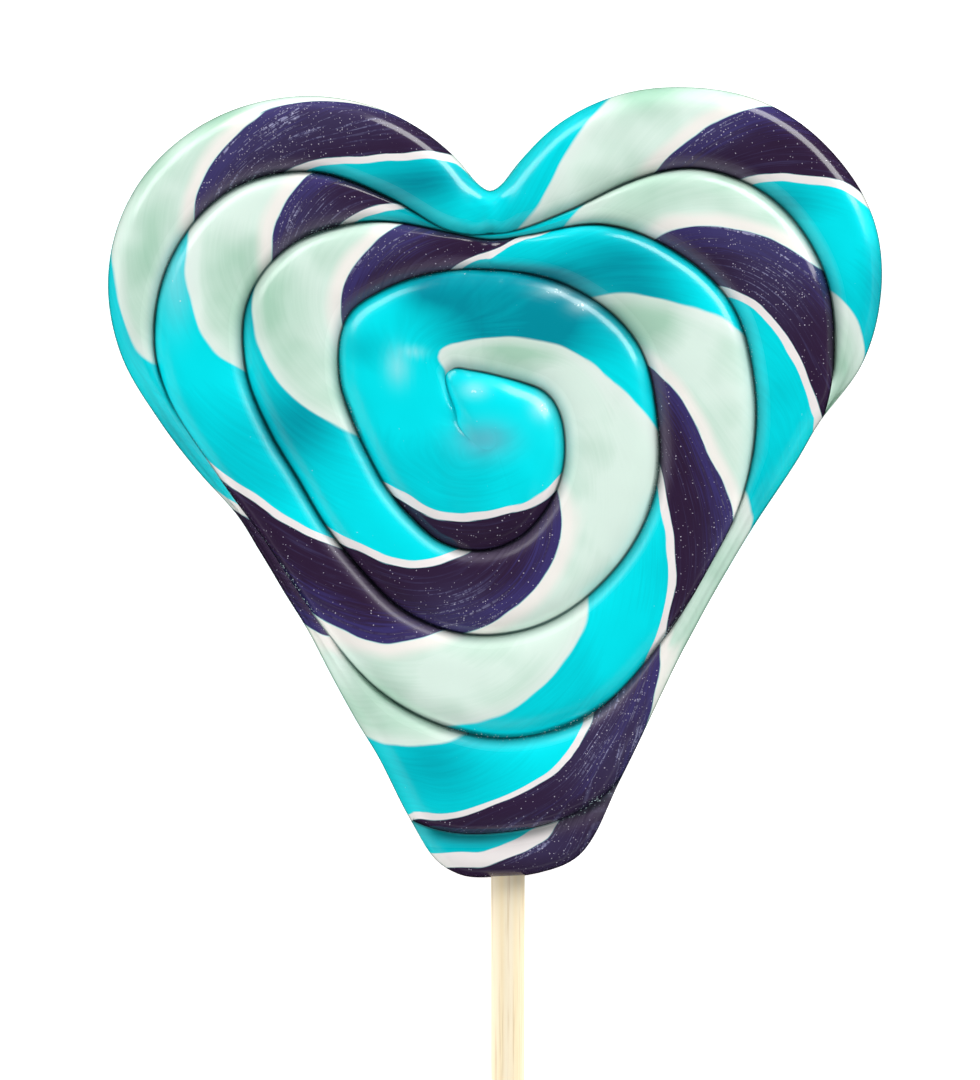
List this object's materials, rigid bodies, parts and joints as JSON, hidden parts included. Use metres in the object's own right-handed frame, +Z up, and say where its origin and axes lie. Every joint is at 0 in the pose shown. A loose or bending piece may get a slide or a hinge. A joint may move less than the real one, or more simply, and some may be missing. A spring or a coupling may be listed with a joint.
{
  "type": "heart lollipop",
  "caption": "Heart-shaped lollipop: a twisted, striped hard-candy rope coiled in a spiral and pressed into a heart, on a round wooden stick.",
  "frame": {"origin": "middle of the underside of the whole lollipop as it lies on its back", "axes": "+Z up, out of the shown side; +Y along the stick towards the lobes; +X to the right of the shown side"},
  "size_m": [0.091, 0.203, 0.0119],
  "materials": {
    "candy": "glossy pulled hard candy in turquoise, dark indigo, pale mint and white stripes",
    "stick_wood": "bare pale wood with fine lengthwise grain"
  },
  "bodies": {
    "root": {"candy_heart": "candy", "stick": "stick_wood"}
  },
  "joints": []
}
